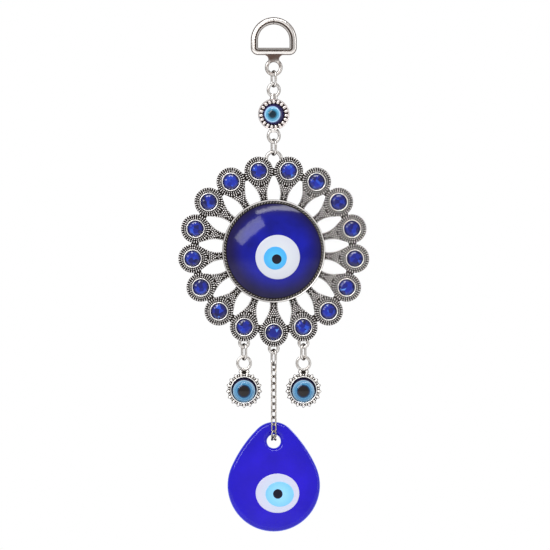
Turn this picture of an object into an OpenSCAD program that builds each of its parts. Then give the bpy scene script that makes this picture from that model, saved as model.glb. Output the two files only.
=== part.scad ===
// Hanging evil eye ornament, in millimetres.
// Origin: top of the inside of the hanging ring, where a hook bears. +Z up, the front faces -Y.

/* [Hanging ring] */
// width of the ring outside
ring_width = 14.7; // [12:0.1:18]
// height of the opening
ring_opening_h = 7.65; // [6:0.05:10]
// width of the ring's band
ring_band = 2.3; // [1.6:0.1:3]
// depth of the ring, front to back
ring_depth = 2.2; // [1.6:0.1:3]
// height of the eye's bottom wire below the origin
ring_eye_wire_z = 16.04; // [14:0.01:18]

/* [Jump links] */
// length of an oval jump link outside
link_len = 5.6; // [5:0.1:7]
// width of an oval jump link outside
link_wid = 3.8; // [3:0.1:5]
// wire of the jump links
link_wire = 0.75; // [0.5:0.05:1]
// running gap between two wires
wire_gap = 0.06; // [0.03:0.01:0.1]
// turn of the jump links out of edge-on, in degrees
link_turn = 24; // [0:1:30]

/* [Connector] */
// height of the disc's centre below the origin
conn_z = 28.8; // [27:0.1:31]
// radius of the disc
conn_r = 4.85; // [4:0.05:6]
// radius of the bead
conn_bead_r = 3.3; // [2.5:0.05:4]

/* [Medallion] */
// radius of the hub's plain ring
hub_r = 16.45; // [15:0.05:18]
// radius of the centre glass
glass_r = 15.1; // [14:0.05:16]
// height of the glass dome
glass_dome = 4.4; // [3:0.1:6]
// number of petals
petal_count = 17; // [12:1:24]
// distance from the hub's centre to a petal's centre
petal_at = 25.75; // [24:0.05:28]
// radius of a petal
petal_r = 4.5; // [4:0.05:5]
// distance from the hub's centre to a stone's centre
stone_at = 26.05; // [24:0.05:28]
// radius of a rim stone
stone_r = 2.6; // [2:0.05:3]
// thickness of the cast plate
plate_t = 2; // [1.4:0.1:3]

/* [Charms] */
// sideways distance of the charms
charm_x = 9.5; // [8:0.1:12]
// drop from the charm ring's wire to the disc's centre
charm_drop = 10.5; // [9:0.1:13]
// radius of the charm's bead
charm_bead_r = 4; // [3:0.05:5]

/* [Chain and drop] */
// width of a chain link outside
chain_wid = 2.3; // [2:0.05:3]
// wire of the chain links
chain_wire = 0.45; // [0.3:0.01:0.6]
// pitch of the chain
chain_pitch = 2.2; // [2:0.01:2.5]
// half the distance between the two strands at the ring
strand_y = 0.5; // [0.4:0.01:1]
// half the thickness of the glass drop
drop_t = 1.8; // [1.4:0.1:2.5]
// diameter of the hole in the drop
drop_hole = 4.4; // [4:0.1:5]

/* [Hidden] */
$fn = 64;
silver = [0.72, 0.70, 0.67];
blue = [0.12, 0.10, 0.62];
link_in = link_len - 2 * link_wire;

// each link hangs on its parent's wire, and the next piece's wire lies in the link's lower end
function link_z(pz, pr) = pz + pr + wire_gap + link_wire - link_len / 2;
function next_wire(pz, pr, r) = pz + pr + 2 * wire_gap - link_in + r;
conn_eye_w = 0.9;
conn_eye_r = 1.7;
conn_top_wire = next_wire(-ring_eye_wire_z, 0.6, conn_eye_w / 2);
conn_low_wire = -37.75;
med_loop_w = 1.1;
med_top_wire = next_wire(conn_low_wire, conn_eye_w / 2, med_loop_w / 2);
med_z = -72.54;
low_loop_w = 1;
low_loop_r = 1.4;
side_loop_z = -101.9;
mid_loop_z = -103.65;
charm_ring_w = 0.65;
charm_ring_r = 1.975;
charm_wire_z = next_wire(side_loop_z - low_loop_r, low_loop_w / 2, charm_ring_w / 2);
charm_z = charm_wire_z - charm_drop;
dome_r = (glass_r * glass_r + glass_dome * glass_dome) / (2 * glass_dome);
glass_y = -1.6;

// the doubled chain: nodes p(0) to p(12) of one strand, in the YZ plane
ring_wire_z = link_z(mid_loop_z - low_loop_r, low_loop_w / 2) - link_len / 2 + link_wire / 2;
strand_z0 = ring_wire_z + 0.13 + link_wire / 2 + chain_wire / 2 + 0.05 - 0.17;
in_1 = 35;
in_2 = 75;
out = asin((chain_pitch * (sin(in_1) + sin(in_2)) - strand_y) / (9 * chain_pitch));
angles = [out, out, out, out, out, out, out, out, out, 0, -in_1, -in_2];
function run_y(k) = k == 0 ? strand_y : run_y(k - 1) + chain_pitch * sin(angles[k - 1]);
function run_z(k) = k == 0 ? strand_z0 : run_z(k - 1) - chain_pitch * cos(angles[k - 1]);
chain_len = chain_pitch + 0.5 + chain_wire;
hole_axis = run_z(12);
hole_z = hole_axis - 0.9;
drop_z = -147.5;

// a ring in the XZ plane, by wire radius and wire thickness
module ring(r, w) {
    rotate([90, 0, 0])
        rotate_extrude()
            translate([r, 0])
                circle(d = w);
}

// an oval link in the XZ plane, its long side upright
module oval(len, wid, w) {
    r = (wid - w) / 2;
    leg = len - wid;
    rotate([90, 0, 0])
        union() {
            for (s = [0, 1])
                rotate([0, 0, 180 * s])
                    translate([0, leg / 2, 0])
                        rotate_extrude(angle = 180)
                            translate([r, 0])
                                circle(d = w);
            for (s = [-1, 1])
                translate([s * r, 0, 0])
                    rotate([90, 0, 0])
                        cylinder(d = w, h = leg, center = true);
        }
}

// a jump link hung on a wire at height pz, nearly edge-on to the front
module jump_link(x, pz, pr, turn) {
    translate([x, 0, link_z(pz, pr)])
        rotate([0, 0, 90 + turn])
            oval(link_len, link_wid, link_wire);
}

// a cylinder along Y from y0 towards the front
module front_disc(r, y0, h) {
    translate([0, y0, 0])
        rotate([90, 0, 0])
            cylinder(r = r, h = h);
}

// section of the hanging ring: a ridged band, x across and y in depth
module band() {
    w = ring_band / 2;
    d = ring_depth / 2;
    polygon([[-w, -0.4], [-w + 0.35, -d + 0.3], [-0.25, -d], [0.25, -d], [w - 0.35, -d + 0.3],
        [w, -0.4], [w, 0.4], [w - 0.4, d], [-w + 0.4, d], [-w, 0.4]]);
}

module hanger_ring() {
    r = (ring_width - ring_band) / 2;
    zc = -(r - ring_band / 2);
    low = -ring_opening_h - ring_band / 2 + 0.15;
    corner = 1.2;
    color(silver)
        union() {
            difference() {
                translate([0, 0, zc])
                    rotate([90, 0, 0])
                        rotate_extrude(angle = 180)
                            translate([r, 0])
                                band();
                translate([0, 0, ring_band])
                    cube([0.16, 3, 1.5], center = true);
            }
            for (s = [-1, 1])
                translate([s * r, 0, low + corner])
                    linear_extrude(zc - low - corner)
                        band();
            for (s = [0, 1])
                mirror([s, 0, 0])
                    translate([-r + corner, 0, low + corner])
                        rotate([90, 0, 0])
                            rotate([0, 0, 180])
                                rotate_extrude(angle = 90)
                                    translate([corner, 0])
                                        intersection() {
                                            band();
                                            translate([-corner, -2])
                                                square([5, 4]);
                                        }
            translate([-r + corner, 0, low])
                rotate([0, 90, 0])
                    linear_extrude(2 * r - 2 * corner)
                        band();
            for (s = [-1, 1])
                translate([s * (r - 1.6), 0, low + 1.05])
                    cube([0.9, 0.8, 0.3], center = true);
            rotate([90, 0, 0])
                linear_extrude(1.7, center = true)
                    polygon([[-3.6, low - 0.9], [3.6, low - 0.9], [1.9, low - 2.3], [1.9, low - 3.2],
                        [-1.9, low - 3.2], [-1.9, low - 2.3]]);
            translate([0, 0, -ring_eye_wire_z + 2.25])
                ring(2.25, 1.2);
        }
}

module top_link() {
    color(silver)
        jump_link(0, -ring_eye_wire_z, 0.6, link_turn);
}

module lower_link() {
    color(silver)
        jump_link(0, conn_low_wire, conn_eye_w / 2, link_turn);
}

module left_link() {
    color(silver)
        jump_link(-charm_x, side_loop_z - low_loop_r, low_loop_w / 2, link_turn);
}

module right_link() {
    color(silver)
        jump_link(charm_x, side_loop_z - low_loop_r, low_loop_w / 2, -link_turn);
}

module chain_ring() {
    color(silver)
        jump_link(0, mid_loop_z - low_loop_r, low_loop_w / 2, link_turn);
}

module connector_setting() {
    color(silver)
        union() {
            translate([0, 0, -conn_z])
                front_disc(conn_r, 1, 1.5);
            translate([0, 0, -conn_z])
                difference() {
                    front_disc(conn_r, 0.5, 1.7);
                    front_disc(conn_r - 0.55, 0.6, 3);
                }
            for (k = [0:18])
                translate([0, 0, -conn_z])
                    rotate([0, 360 / 19 * k, 0])
                        translate([0, -0.75, conn_r - 1.05])
                            sphere(r = 0.48, $fn = 20);
            for (p = [[conn_top_wire - conn_eye_r, 1], [conn_low_wire + conn_eye_r, -1]]) {
                translate([0, 0, p[0]])
                    ring(conn_eye_r, conn_eye_w);
                translate([0, 0.15, (p[0] - p[1] * conn_eye_r - conn_z + p[1] * conn_r) / 2])
                    cube([1.7, 1.2, abs(p[0] - p[1] * conn_eye_r + conn_z - p[1] * conn_r) + 0.8],
                        center = true);
            }
        }
}

// a domed bead with a flat back, the foot of its dome at y0
module cabochon(r, h, y0) {
    big = (r * r + h * h) / (2 * h);
    translate([0, y0, 0])
        rotate([90, 0, 0])
            rotate_extrude($fn = 72)
                intersection() {
                    translate([0, h - big])
                        circle(r = big, $fn = 240);
                    translate([0, -0.3])
                        square([r, h + 1]);
                }
}

module connector_bead() {
    color([0.35, 0.62, 0.88])
        translate([0, 0, -conn_z])
            cabochon(conn_bead_r, 1.7, -0.8);
}

// one petal pointing along -Z from the hub's centre
module petal() {
    translate([0, 0, -petal_at])
        front_disc(petal_r, 1, plate_t);
    rotate([90, 0, 0])
        linear_extrude(plate_t - 0.7, center = true)
            polygon([[-1.4, -hub_r + 0.7], [1.4, -hub_r + 0.7], [1.5, -18.2], [2.1, -19.8],
                [3.2, -21.6], [4.1, -23.6], [-4.1, -23.6], [-3.2, -21.6], [-2.1, -19.8],
                [-1.5, -18.2]]);
    translate([0, 0, -stone_at])
        front_disc(stone_r + 0.4, 0, 2);
}

module petal_seat() {
    translate([0, 0, -stone_at])
        front_disc(stone_r, -1.2, 3);
}

module around(z) {
    for (k = [0:petal_count - 1])
        translate([0, 0, z])
            rotate([0, 360 / petal_count * k, 0])
                children();
}

module medallion_frame() {
    color(silver)
        difference() {
            union() {
                translate([0, 0, med_z])
                    front_disc(hub_r, 1, 1.6);
                translate([0, 0, med_z])
                    difference() {
                        front_disc(hub_r, 0, 2.2);
                        front_disc(glass_r + 0.05, -0.6, 4);
                    }
                translate([0, -2.2, med_z])
                    ring((hub_r + glass_r) / 2, 1.25);
                around(med_z)
                    petal();
                around(med_z)
                    rotate([0, 180 / petal_count, 0])
                        translate([0, 0.1, -petal_at * cos(180 / petal_count)])
                            cube([1.2, 1.4, 2.6], center = true);
                translate([0, 0, med_top_wire - 2.4])
                    ring(2.4, med_loop_w);
                for (s = [-1, 1])
                    translate([s * 2.4, 0, med_top_wire - 3.6])
                        rotate([0, s * 8, 0])
                            cube([1.1, 1.1, 2.6], center = true);
                for (s = [-1, 1])
                    translate([s * charm_x, 0, side_loop_z])
                        ring(low_loop_r, low_loop_w);
                translate([0, 0, mid_loop_z])
                    ring(low_loop_r, low_loop_w);
            }
            around(med_z)
                petal_seat();
        }
}

// a faceted stone with a flat table, its back on the seat
module stone() {
    rotate([90, 0, 0])
        union() {
            cylinder(r = stone_r - 0.02, h = 0.5, $fn = 12);
            translate([0, 0, 0.5])
                cylinder(r1 = stone_r - 0.02, r2 = stone_r * 0.62, h = 0.6, $fn = 12);
        }
}

module rim_stones() {
    color(blue)
        around(med_z)
            translate([0, -1.2, -stone_at])
                stone();
}

module dome() {
    translate([0, glass_y, 0])
        rotate([90, 0, 0])
            rotate_extrude($fn = 96)
                intersection() {
                    translate([0, glass_dome - dome_r])
                        circle(r = dome_r, $fn = 480);
                    translate([0, glass_y + 0.6])
                        square([glass_r, glass_dome + 2]);
                }
}

// the part of the dome inside a cylinder of radius r at x, z, in front of y0
module dome_plug(r, x, z, y0) {
    intersection() {
        dome();
        translate([x, 0, z])
            front_disc(r, y0, 9);
    }
}

module center_glass_blue() {
    color([0.09, 0.10, 0.55])
        translate([0, 0, med_z])
            difference() {
                dome();
                translate([1.3, 0, -2])
                    front_disc(7.05, -3, 9);
            }
}

module center_glass_white() {
    color([0.95, 0.95, 0.98])
        translate([0, 0, med_z])
            difference() {
                dome_plug(7.05, 1.3, -2, -3);
                translate([0.5, 0, -2.3])
                    front_disc(3.65, -3.8, 9);
            }
}

module center_glass_sky() {
    color([0.35, 0.75, 0.95])
        translate([0, 0, med_z])
            difference() {
                dome_plug(3.65, 0.5, -2.3, -3.8);
                translate([0.95, 0, -2.6])
                    front_disc(1.5, -4.6, 9);
            }
}

module center_glass_pupil() {
    color([0.03, 0.03, 0.06])
        translate([0, 0, med_z])
            dome_plug(1.5, 0.95, -2.6, -4.6);
}

module charm() {
    ring_z = charm_wire_z - charm_ring_r;
    color(silver)
        difference() {
            union() {
                translate([0, 0, ring_z])
                    ring(charm_ring_r, charm_ring_w);
                translate([0, 0, charm_z])
                    front_disc(5, 1, 1.2);
                translate([0, 0, charm_z])
                    front_disc(charm_bead_r + 0.55, 0.5, 1.9);
                for (k = [0:16])
                    translate([0, 0, charm_z])
                        rotate([0, 360 / 17 * (k + 0.5), 0])
                            translate([0, -0.15, 4.95])
                                sphere(r = 0.72, $fn = 24);
                translate([0, 0.2, (ring_z - charm_ring_r + charm_z + 5) / 2])
                    cube([2.2, 0.9, ring_z - charm_ring_r - charm_z - 5 + 1], center = true);
                for (s = [-1, 1])
                    translate([s * 1.15, -0.2, charm_z + 5.75])
                        sphere(r = 0.6, $fn = 24);
            }
            translate([0, 0, charm_z])
                front_disc(charm_bead_r, -0.2, 5);
        }
}

module charm_bead() {
    color([0.35, 0.62, 0.88])
        translate([0, 0, charm_z])
            translate([0, -0.5, 0])
                cabochon(charm_bead_r - 0.01, 2.4, 0);
}

module left_charm() {
    translate([-charm_x, 0, 0])
        charm();
}

module left_bead() {
    translate([-charm_x, 0, 0])
        charm_bead();
}

module right_charm() {
    translate([charm_x, 0, 0])
        charm();
}

module right_bead() {
    translate([charm_x, 0, 0])
        charm_bead();
}

// link k of one strand; side -1 is the front strand and 1 the back one
module strand_link(k, side) {
    color(silver)
        translate([0, side * (run_y(k - 1) + run_y(k)) / 2, (run_z(k - 1) + run_z(k)) / 2])
            rotate([side * angles[k - 1], 0, 0])
                rotate([0, 0, k % 2 == 0 ? -45 : 45])
                    oval(chain_len, chain_wid, chain_wire);
}

// outline of the drop inset by t, as one half from the top round to the bottom
function arc(cx, cz, r, a0, a1, n) = [for (i = [0:n]) let (a = a0 + (a1 - a0) * i / n)
    [cx + r * cos(a), cz + r * sin(a)]];
function half(t) = concat(
    arc(0, 13, 7.3 - t, 90, 45.2, 8),
    arc(-23.04, -10.2, 40 - t, 44, 25, 8),
    arc(0, 0, 14.8 - t, 23.9, -90, 22));
function outline(t) = let (h = half(t)) concat(h,
    [for (i = [len(h) - 2:-1:1]) [-h[i][0], h[i][1]]]);

// an elliptical disc facing the front, its back at y0
module oval_disc(a, b, y0, h) {
    translate([0, y0, 0])
        rotate([90, 0, 0])
            linear_extrude(h)
                polygon([for (i = [0:71]) [a * cos(5 * i), b * sin(5 * i)]]);
}

module slab(t, d) {
    translate([0, 0, drop_z])
        rotate([90, 0, 0])
            linear_extrude(d, center = true)
                polygon(outline(t));
}

module drop_glass() {
    color([0.16, 0.10, 0.78, 0.9])
        difference() {
            hull() {
                slab(1.5, 2 * drop_t);
                slab(0.7, 2 * drop_t - 0.5);
                slab(0.2, 2 * drop_t - 1.2);
                slab(0, 2 * drop_t - 2.2);
            }
            translate([0, 0, hole_z])
                front_disc(drop_hole / 2, 5, 10);
            for (s = [-1, 1])
                translate([0, s * (drop_t + 0.01), hole_z])
                    rotate([s * 90, 0, 0])
                        cylinder(r1 = drop_hole / 2 + 0.9, r2 = drop_hole / 2, h = 0.9);
            translate([1.2, 0, -150])
                oval_disc(7.05, 6.35, -drop_t + 0.5, 2);
        }
}

module drop_white() {
    color([0.95, 0.95, 0.98])
        difference() {
            translate([1.2, 0, -150])
                oval_disc(7.05, 6.35, -drop_t + 0.5, 0.7);
            translate([1.9, 0, -150.3])
                oval_disc(4.6, 4.05, -drop_t + 0.15, 2);
        }
}

module drop_sky() {
    color([0.55, 0.85, 0.97])
        difference() {
            translate([1.9, 0, -150.3])
                oval_disc(4.6, 4.05, -drop_t + 0.15, 0.5);
            translate([1.3, -drop_t - 0.15, -150.2])
                front_disc(1.55, 0, 2);
        }
}

module drop_pupil() {
    color([0.03, 0.03, 0.06])
        translate([1.3, -drop_t - 0.15, -150.2])
            front_disc(1.55, 0, 0.35);
}

hanger_ring();
top_link();
connector_setting();
connector_bead();
lower_link();
medallion_frame();
rim_stones();
center_glass_blue();
center_glass_white();
center_glass_sky();
center_glass_pupil();
left_link();
left_charm();
left_bead();
right_link();
right_charm();
right_bead();
chain_ring();
strand_link(1, -1);  // front_link_01
strand_link(2, -1);  // front_link_02
strand_link(3, -1);  // front_link_03
strand_link(4, -1);  // front_link_04
strand_link(5, -1);  // front_link_05
strand_link(6, -1);  // front_link_06
strand_link(7, -1);  // front_link_07
strand_link(8, -1);  // front_link_08
strand_link(9, -1);  // front_link_09
strand_link(10, -1);  // front_link_10
strand_link(11, -1);  // front_link_11
strand_link(12, -1);  // front_link_12
strand_link(1, 1);  // back_link_01
strand_link(2, 1);  // back_link_02
strand_link(3, 1);  // back_link_03
strand_link(4, 1);  // back_link_04
strand_link(5, 1);  // back_link_05
strand_link(6, 1);  // back_link_06
strand_link(7, 1);  // back_link_07
strand_link(8, 1);  // back_link_08
strand_link(9, 1);  // back_link_09
strand_link(10, 1);  // back_link_10
strand_link(11, 1);  // back_link_11
strand_link(12, 1);  // back_link_12
drop_glass();
drop_white();
drop_sky();
drop_pupil();
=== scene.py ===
"""Looks of the hanging evil eye ornament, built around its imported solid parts."""
import logging
import math
from dataclasses import dataclass
from enum import Enum
from typing import Any, Callable, Iterable, Sequence

import bmesh
import bpy
from mathutils import Matrix, Vector


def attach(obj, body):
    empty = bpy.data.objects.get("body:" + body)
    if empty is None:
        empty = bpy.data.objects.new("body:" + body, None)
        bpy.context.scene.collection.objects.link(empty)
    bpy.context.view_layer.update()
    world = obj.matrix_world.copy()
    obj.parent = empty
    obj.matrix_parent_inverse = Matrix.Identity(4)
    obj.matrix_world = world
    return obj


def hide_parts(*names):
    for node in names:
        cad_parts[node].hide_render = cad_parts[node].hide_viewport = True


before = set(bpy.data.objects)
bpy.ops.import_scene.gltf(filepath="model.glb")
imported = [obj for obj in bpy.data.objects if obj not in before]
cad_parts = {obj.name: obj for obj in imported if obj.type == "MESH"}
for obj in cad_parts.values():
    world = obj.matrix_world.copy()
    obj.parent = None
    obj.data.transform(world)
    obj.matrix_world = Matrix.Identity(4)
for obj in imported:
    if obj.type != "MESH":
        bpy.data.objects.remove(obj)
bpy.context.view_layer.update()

MM = 0.001
FULL_TURN = 2 * math.pi
HUB_Z = -72.54  # the medallion's middle, in mm below the part's origin
ALL_SOFT = 80  # shades every edge of a small round part smooth, in degrees
Triple = tuple[float, float, float]
Colour = Triple
Point = tuple[float, float]
Piece = bpy.types.Object
Finish = bpy.types.Material
log = logging.getLogger("ornament")


# ---------------------------------------------------------------- shader tools


class Signal:
    """A number socket of a shader, with the arithmetic that the finishes use."""

    def __init__(self, sheet: "Sheet", socket: bpy.types.NodeSocket) -> None:
        """Args: sheet: the material's nodes. socket: the output that is wrapped."""
        self.sheet = sheet
        self.socket = socket

    def _math(self, operation: str, first: Any, second: Any) -> "Signal":
        """Args: operation: a Math node's kind. first, second: its operands. Returns: its result."""
        settings = {"operation": operation}
        return self.sheet.node("ShaderNodeMath", settings, {0: first, 1: second}).out()

    def __add__(self, other: Any) -> "Signal":
        """Returns: the sum."""
        return self._math("ADD", self, other)

    __radd__ = __add__

    def __sub__(self, other: Any) -> "Signal":
        """Returns: this less other."""
        return self._math("SUBTRACT", self, other)

    def __rsub__(self, other: Any) -> "Signal":
        """Returns: other less this."""
        return self._math("SUBTRACT", other, self)

    def __mul__(self, other: Any) -> "Signal":
        """Returns: the product."""
        return self._math("MULTIPLY", self, other)

    __rmul__ = __mul__

    def __truediv__(self, other: Any) -> "Signal":
        """Returns: the quotient."""
        return self._math("DIVIDE", self, other)

    def __pow__(self, other: float) -> "Signal":
        """Returns: this to a power."""
        return self._math("POWER", self, other)

    def most(self, other: Any) -> "Signal":
        """Returns: the larger of the two."""
        return self._math("MAXIMUM", self, other)

    def band(self, low: float, high: float) -> "Signal":
        """Args: low, high: where the mask leaves 0 and reaches 1. Returns: a smooth mask."""
        settings = {"interpolation_type": "SMOOTHSTEP"}
        sockets = {0: self, 1: low, 2: high, 3: 0.0, 4: 1.0}
        return self.sheet.node("ShaderNodeMapRange", settings, sockets).out()


class Step:
    """A placed node, whose outputs are taken by name or number."""

    def __init__(self, sheet: "Sheet", node: bpy.types.Node) -> None:
        """Args: sheet: the material's nodes. node: the node."""
        self.sheet = sheet
        self.node = node

    def out(self, key: int | str = 0) -> Signal:
        """Args: key: an output's name or number. Returns: that output."""
        return Signal(self.sheet, self.node.outputs[key])


class Sheet:
    """The node sheet of one material."""

    def __init__(self, name: str) -> None:
        """Args: name: the material's name."""
        self.material = bpy.data.materials.new(name)
        self.material.use_nodes = True
        self.tree = self.material.node_tree
        self.tree.nodes.clear()

    def node(self, kind: str, settings: dict[str, Any] | None = None,
             sockets: dict[int | str, Any] | None = None) -> Step:
        """Adds one node.

        Args:
            kind: the node's type.
            settings: its own settings; stops are a ramp's (place, colour) pairs.
            sockets: values or links of its inputs, by name or number.

        Returns:
            The node, ready for its outputs to be taken.
        """
        node = self.tree.nodes.new(kind)
        for key, value in (settings or {}).items():
            if key == "stops":
                self._stops(node.color_ramp, value)
            else:
                setattr(node, key, value)
        for key, value in (sockets or {}).items():
            if isinstance(value, Signal):
                self.tree.links.new(value.socket, node.inputs[key])
            elif isinstance(value, tuple) and node.inputs[key].type == "RGBA":
                node.inputs[key].default_value = (*value, 1.0)
            else:
                node.inputs[key].default_value = value
        return Step(self, node)

    @staticmethod
    def _stops(ramp: bpy.types.ColorRamp, stops: Sequence[tuple[float, Colour]]) -> None:
        """Args: ramp: the ramp. stops: places and colours, in order."""
        while len(ramp.elements) < len(stops):
            ramp.elements.new(1.0)
        for element, (place, colour) in zip(ramp.elements, stops):
            element.position = place
            element.color = (*colour, 1.0)

    def millimetres(self, centre: Triple = (0, 0, 0)) -> Signal:
        """Args: centre: the pattern's origin, in mm. Returns: object coordinates in mm."""
        coords = self.node("ShaderNodeTexCoord").out("Object")
        shift = tuple(-value for value in centre)
        sockets = {"Vector": coords, "Scale": (1 / MM,) * 3, "Location": shift}
        return self.node("ShaderNodeMapping", {"vector_type": "POINT"}, sockets).out()

    def axes(self, vector: Signal) -> tuple[Signal, Signal, Signal]:
        """Args: vector: a vector. Returns: its three parts."""
        parts = self.node("ShaderNodeSeparateXYZ", None, {0: vector})
        return parts.out(0), parts.out(1), parts.out(2)

    def reach(self, place: Signal) -> Signal:
        """Args: place: coordinates in mm. Returns: the distance from the axis that faces front."""
        across, _, up = self.axes(place)
        return (across * across + up * up) ** 0.5

    def turned_away(self, low: float, high: float) -> Signal:
        """Args: low, high: where the mask leaves 0 and reaches 1. Returns: a mask of the edges
        turned away from the view, where the metals paint shade and the drop's glass paints a
        highlight.
        """
        weight = self.node("ShaderNodeLayerWeight", None, {"Blend": 0.5})
        return weight.out("Facing").band(low, high)

    def noise(self, vector: Signal, scale: float, detail: float = 3.0,
              rough: float = 0.5) -> Signal:
        """Args: vector: where. scale, detail, rough: the noise's own. Returns: 0 to 1."""
        sockets = {"Vector": vector, "Scale": scale, "Detail": detail, "Roughness": rough}
        return self.node("ShaderNodeTexNoise", None, sockets).out(0)

    def ramp(self, value: Signal, stops: Sequence[tuple[float, Colour]]) -> Signal:
        """Args: value: where on the ramp. stops: places and colours. Returns: a colour."""
        return self.node("ShaderNodeValToRGB", {"stops": stops}, {0: value}).out()

    def blend(self, mask: Any, first: Any, second: Any, mode: str = "MIX") -> Signal:
        """Args: mask: 0 to 1. first, second: colours. mode: how they mix. Returns: the colour."""
        step = self.node("ShaderNodeMix", {"data_type": "RGBA", "blend_type": mode}, {0: mask})
        for key, value in ((6, first), (7, second)):
            if isinstance(value, Signal):
                self.tree.links.new(value.socket, step.node.inputs[key])
            else:
                step.node.inputs[key].default_value = (*value, 1.0)
        return step.out(2)

    def bump(self, height: Signal, depth_mm: float, strength: float = 1.0) -> Signal:
        """Args: height: 0 to 1. depth_mm, strength: the relief's own. Returns: a normal."""
        sockets = {"Height": height, "Distance": depth_mm * MM, "Strength": strength}
        return self.node("ShaderNodeBump", None, sockets).out()

    def surface(self, **sockets: Any) -> Finish:
        """Args: sockets: the one shader's inputs, spaces as underscores. Returns: the material."""
        named = {key.replace("_", " "): value for key, value in sockets.items()}
        shader = self.node("ShaderNodeBsdfPrincipled", None, named)
        end = self.tree.nodes.new("ShaderNodeOutputMaterial")
        self.tree.links.new(shader.node.outputs[0], end.inputs[0])
        return self.material


# -------------------------------------------------------------------- finishes


@dataclass(frozen=True)
class AntiqueSilver:
    """Cast alloy with a silver plate: bright on what stands proud, dark patina in the recesses.

    floor and top are the heights towards the front, in mm, where patina ends and polish begins.
    outline is how much painted shade darkens the edges turned away from the view, and flank is how
    far the sides lose their patina. back_face is where the flat back begins.
    """

    name: str
    floor: float
    top: float
    dark: Colour = (0.022, 0.017, 0.014)
    mid: Colour = (0.42, 0.38, 0.35)
    bright: Colour = (1.0, 0.97, 0.94)
    rough: float = 0.27
    outline: float = 0.55
    flank: float = 0.6
    back_face: Point = (-0.98, -0.84)

    def material(self) -> Finish:
        """Returns: the finish as a material."""
        sheet = Sheet(self.name)
        place = sheet.millimetres()
        height = 0.0 - sheet.axes(place)[1]
        cloud = sheet.noise(place, 1.1, 4.0)
        grain = sheet.noise(place, 5.0, 3.0, 0.6)
        lift = (height + (grain - 0.5) * 0.18 + (cloud - 0.5) * 0.12).band(self.floor, self.top)
        side = 1.0 - height.band(self.floor - 0.75, self.floor - 0.35)
        back = 1.0 - height.band(*self.back_face)
        worn = sheet.ramp(lift, [(0.0, self.dark), (0.5, self.mid), (0.9, self.bright)])
        edge = sheet.blend(cloud, self.mid, self.bright)
        tone = sheet.blend((side * self.flank).most(back * 0.75), worn, edge)
        # painted shade: the edges turned away from the view are darkened towards the dark colour
        tone = sheet.blend(sheet.turned_away(0.35, 0.85) * self.outline, tone, self.dark)
        cast = sheet.ramp(cloud, [(0.3, (0.78, 0.755, 0.74)), (0.7, (1, 1, 1))])
        tone = sheet.blend(0.3, tone, cast, "MULTIPLY")
        rough = self.rough + 0.3 * (1.0 - lift) + (grain - 0.5) * 0.2
        fine = sheet.noise(place, 9.0, 2.0)
        return sheet.surface(Base_Color=tone, Metallic=0.55 + 0.45 * lift, Roughness=rough,
                             Specular_Tint=self.mid, Normal=sheet.bump(fine, 0.03, 0.5))


@dataclass(frozen=True)
class PolishedSilver:
    """Bright plated wire and rims, with a little tarnish and fine handling marks.

    amount is how much tarnish there is. edge is painted shade laid on the edges turned away from
    the view, as far as outline reaches. A brown stain starts above the height stain_from, in mm.
    """

    name: str
    bright: Colour = (0.78, 0.75, 0.725)
    tarnish: Colour = (0.42, 0.37, 0.33)
    rough: float = 0.17
    amount: float = 0.55
    edge: Colour = (0.10, 0.085, 0.075)
    outline: Point = (0.16, 0.66)
    stain_from: float | None = None
    stain: Colour = (0.17, 0.105, 0.085)

    def material(self) -> Finish:
        """Returns: the finish as a material."""
        sheet = Sheet(self.name)
        place = sheet.millimetres()
        cloud = sheet.noise(place, 0.7, 4.0, 0.6)
        marks = sheet.noise(place, 6.0, 3.0)
        mask = cloud.band(0.42, 0.66) * self.amount
        tone = sheet.blend(mask, self.bright, self.tarnish)
        # painted shade: the edges turned away from the view take the dark edge colour
        tone = sheet.blend(sheet.turned_away(*self.outline) * 0.92, tone, self.edge)
        if self.stain_from is not None:
            stain = sheet.axes(place)[2].band(self.stain_from, self.stain_from + 1.1)
            tone = sheet.blend(stain * (0.6 + 0.6 * cloud), tone, self.stain)
        rough = self.rough + 0.16 * mask + (marks - 0.5) * 0.12
        return sheet.surface(Base_Color=tone, Metallic=1.0, Roughness=rough,
                             Specular_Tint=self.edge, Normal=sheet.bump(marks, 0.02, 0.35))


@dataclass(frozen=True)
class Stone:
    """Foil-backed cobalt rhinestone: cells of lighter and darker blue, painted glints of the foil
    under the facets, and painted shade towards the rim, under a hard gloss.
    """

    name: str

    def material(self) -> Finish:
        """Returns: the finish as a material."""
        sheet = Sheet(self.name)
        place = sheet.millimetres()
        # painted glints: cells of lighter and darker blue stand for light caught by the foil under
        # the facets
        cells = sheet.node("ShaderNodeTexVoronoi", None,
                           {"Vector": place, "Scale": 0.75, "Randomness": 0.9})
        glint_cells = sheet.node("ShaderNodeRGBToBW", None, {0: cells.out("Color")}).out()
        tone = sheet.ramp(glint_cells, [
            (0.15, (0.002, 0.003, 0.07)), (0.4, (0.004, 0.010, 0.23)), (0.66, (0.006, 0.024, 0.42)),
            (0.87, (0.02, 0.10, 0.68)), (0.97, (0.16, 0.42, 0.95))])
        # painted shade: the stone darkens towards its rim
        rim = sheet.node("ShaderNodeAttribute", {"attribute_name": "reach"}).out("Fac")
        tone = sheet.blend(rim.band(0.5, 1.0) * 0.9, tone, (0.003, 0.004, 0.06))
        return sheet.surface(Base_Color=tone, Roughness=0.05, Specular_IOR_Level=0.6)


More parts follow.
